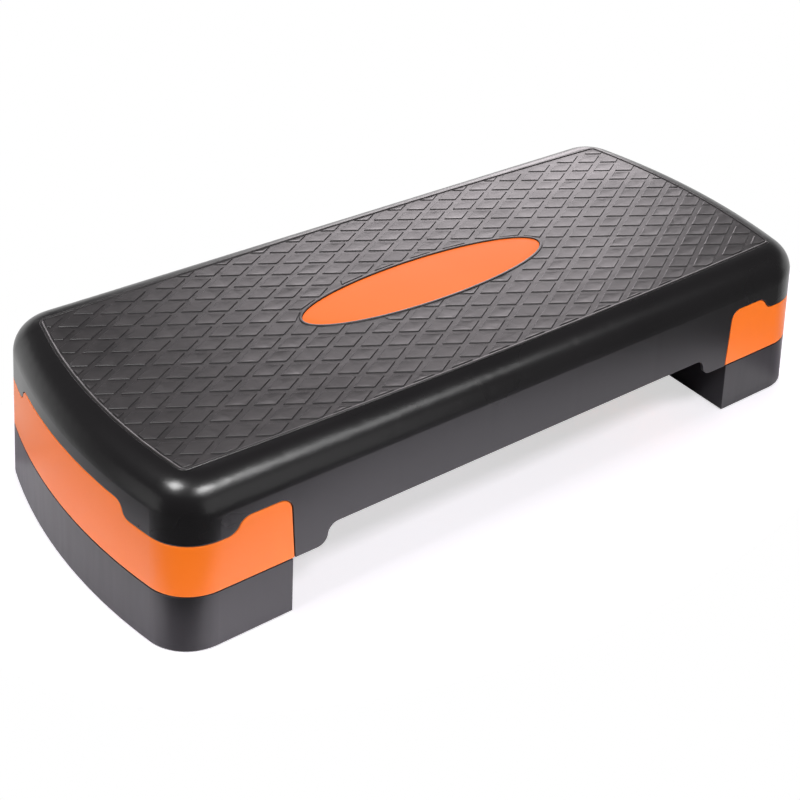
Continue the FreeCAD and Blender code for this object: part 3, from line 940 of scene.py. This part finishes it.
@dataclass
class PearlBoard:
    """Oval pale board that the step stands on, in two halves that each go down with the feet of one end."""

    middle: tuple[float, float] = (0.02, 0.0)
    half: tuple[float, float] = (0.46, 0.295)
    steps: int = 65
    colour: str = "#ebe4f0"
    glow: float = 0.60
    roughness: float = 0.45
    pearl: float = 0.7
    # The glow that gloss sees is painted reflection along the step's sides; it is left out under the step as
    # painted shadow and off its corners as painted shade
    clear: tuple[float, float] = (0.9, 1.1)  # where the glow in gloss fades in, in the step's half sizes
    painted_corner_shade_fade: tuple[float, float] = (0.88, 0.95)  # and where it fades out towards the corners

    def material(self) -> bpy.types.Material:
        """Builds a satin pearl card: a soft sheen, made as white as the room by a little glow.

        In gloss the glow is a painted reflection along the step's four sides, left out under it as a painted
        shadow and off its corners as painted shade: of |x| and |y| as shares of the step's half sizes, the
        larger is past one and the smaller isn't.

        Returns:
            The material.
        """
        material = empty_material("satin_pearl_board")
        tree = material.node_tree
        place = add_node(tree, "ShaderNodeTexCoord").outputs["Object"]
        step = CAD_BOX[1]
        spread = add_node(tree, "ShaderNodeVectorMath", {0: place, 1: (1.0 / step.x, 1.0 / step.y, 0.0)},
                          operation="MULTIPLY").outputs[0]
        apart = add_node(tree, "ShaderNodeVectorMath", {0: spread}, operation="ABSOLUTE").outputs[0]
        shares = add_node(tree, "ShaderNodeSeparateXYZ", {0: apart}).outputs
        both = {0: shares["X"], 1: shares["Y"]}
        larger = add_node(tree, "ShaderNodeMath", both, operation="MAXIMUM").outputs[0]
        smaller = add_node(tree, "ShaderNodeMath", both, operation="MINIMUM").outputs[0]
        clear = add_node(tree, "ShaderNodeMapRange", {
            "Value": larger, "From Min": self.clear[0], "From Max": self.clear[1]},
            interpolation_type="SMOOTHSTEP").outputs[0]
        painted_corner_shade_fade = add_node(tree, "ShaderNodeMapRange", {
            "Value": smaller, "From Min": self.painted_corner_shade_fade[0], "From Max": self.painted_corner_shade_fade[1],
            "To Min": 1.0, "To Max": 0.0}, interpolation_type="SMOOTHSTEP").outputs[0]
        # painted reflection: the share of the glow that gloss sees, none under the step (painted shadow) and
        # none off its corners (painted shade)
        painted_reflection_share = add_node(tree, "ShaderNodeMath", {0: clear, 1: painted_corner_shade_fade}, operation="MULTIPLY").outputs[0]
        glow = add_node(tree, "ShaderNodeMath", {0: white_share(tree, painted_reflection_share), 1: self.glow},
                        operation="MULTIPLY").outputs[0]
        shader = add_node(tree, "ShaderNodeBsdfPrincipled", {
            "Base Color": hex_linear(self.colour), "Roughness": self.roughness, "Metallic": self.pearl,
            "Emission Color": WHITE, "Emission Strength": glow})
        add_node(tree, "ShaderNodeOutputMaterial", {"Surface": shader.outputs[0]})
        return material

    def build(self) -> None:
        """Lays both halves of the ellipse (a cos t, b sin t); a tier pulled out below then stays in sight."""
        material = self.material()
        for end, start in ((End.RIGHT, -0.5 * math.pi), (End.LEFT, 0.5 * math.pi)):
            turn = start + np.linspace(0.0, math.pi, self.steps)
            across = self.middle[0] + self.half[0] * np.cos(turn)
            deep = self.middle[1] + self.half[1] * np.sin(turn)
            points = np.stack([across, deep, np.zeros_like(turn)], axis=1)
            board = make_piece(f"{end.value}_floor", points, [list(range(self.steps))], crease_deg=30.0)
            dress(board, material)
            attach(board, f"{end.value}_base_tier")


@dataclass
class Studio:
    """A dim even room with a white background, soft lamps and white cards, and the photograph's camera."""

    target: tuple[float, float, float] = (0.0, 0.0, 0.08)
    camera_place: tuple[float, float, float] = (-0.61234, -0.77315, 0.71054)
    right: tuple[float, float, float] = (0.807547, -0.589043, 0.029931)
    up: tuple[float, float, float] = (0.320755, 0.481192, 0.815825)
    lens_mm: float = 62.019
    sensor_mm: float = 36.0
    room_light: float = 0.14
    backdrop_side: tuple[float, float] = (0.0, 0.5)  # part of a way along the sight where white fades in
    backdrop_top: tuple[float, float] = (0.12, 0.36)  # part upwards where it fades out
    lamps: tuple[Softbox, ...] = (
        Softbox("front_softbox", (-0.06, -0.98, 1.52), 0.84, 0.36, 28.0),
        Softbox("right_softbox", (0.68, -1.00, 1.32), 0.45, 0.36, 6.0),
        Softbox("left_softbox", (-1.10, 0.05, 1.67), 0.55, 0.55, 30.0),
        Softbox("back_softbox", (1.28, 1.62, 0.80), 1.15, 0.90, 5.2, "#fff6fa"),
        Softbox("front_card", (0.08, -1.39, 0.25), 1.15, 1.00, 0.9),
        Softbox("left_card", (-1.37, 0.26, 0.05), 0.60, 0.75, 0.75),
    )

    def camera(self) -> None:
        """Stands the camera at the photograph's viewpoint: its axes are right, up and back."""
        data = bpy.data.cameras.new("camera")
        data.lens = self.lens_mm
        data.sensor_width = self.sensor_mm
        piece = bpy.data.objects.new("camera", data)
        back = np.cross(self.right, self.up)
        turn = np.column_stack([self.right, self.up, back])
        piece.matrix_world = Matrix.Translation(self.camera_place) @ Matrix(turn.tolist()).to_4x4()
        bpy.context.scene.collection.objects.link(piece)
        bpy.context.scene.camera = piece

    def world(self) -> None:
        """Fills the room with an even dim light, and shows the eye a white background.

        In gloss that white shows as a low backdrop behind the step: where a way's part along the camera's
        level line of sight is large and its part upwards is small.
        """
        world = bpy.data.worlds.new("studio")
        world.use_nodes = True
        tree = world.node_tree
        tree.nodes.clear()
        sight = np.array(self.target[:2]) - np.array(self.camera_place[:2])
        level = (*(sight / np.linalg.norm(sight)).tolist(), 0.0)
        way = add_node(tree, "ShaderNodeTexCoord").outputs["Generated"]
        along = add_node(tree, "ShaderNodeVectorMath", {0: way, 1: level},
                         operation="DOT_PRODUCT").outputs["Value"]
        upwards = add_node(tree, "ShaderNodeSeparateXYZ", {0: way}).outputs["Z"]
        behind = add_node(tree, "ShaderNodeMapRange", {
            "Value": along, "From Min": self.backdrop_side[0], "From Max": self.backdrop_side[1]},
            interpolation_type="SMOOTHSTEP").outputs[0]
        low = add_node(tree, "ShaderNodeMapRange", {
            "Value": upwards, "From Min": self.backdrop_top[0], "From Max": self.backdrop_top[1],
            "To Min": 1.0, "To Max": 0.0}, interpolation_type="SMOOTHSTEP").outputs[0]
        backdrop = add_node(tree, "ShaderNodeMath", {0: behind, 1: low}, operation="MULTIPLY").outputs[0]
        strength = add_node(tree, "ShaderNodeMix", {
            "Factor": white_share(tree, backdrop), "A": self.room_light, "B": 1.0},
            data_type="FLOAT").outputs[0]
        light = add_node(tree, "ShaderNodeBackground", {"Color": WHITE, "Strength": strength})
        add_node(tree, "ShaderNodeOutputWorld", {"Surface": light.outputs[0]})
        bpy.context.scene.world = world

    def build(self) -> None:
        """Sets the whole studio up."""
        self.camera()
        PearlBoard().build()
        self.world()
        for lamp in self.lamps:
            lamp.build(self.target)
        bpy.context.scene.view_settings.view_transform = "Standard"
        LOG.info("studio: %d lamps", len(self.lamps))


def main() -> None:
    """Builds the platform, both riser stacks and the studio."""
    logging.basicConfig(level=logging.INFO, format="%(name)s %(message)s")
    nodes = frame["nodes"]
    orange = ORANGE_PLASTIC.material()
    black = RISER_PLASTIC.material()
    rubber = FOOT_RUBBER.material()
    Platform(nodes).build()
    for end in End:
        RiserStack(end, nodes).dress(orange, black, rubber)
    Studio().build()


if __name__ == "__main__":
    main()
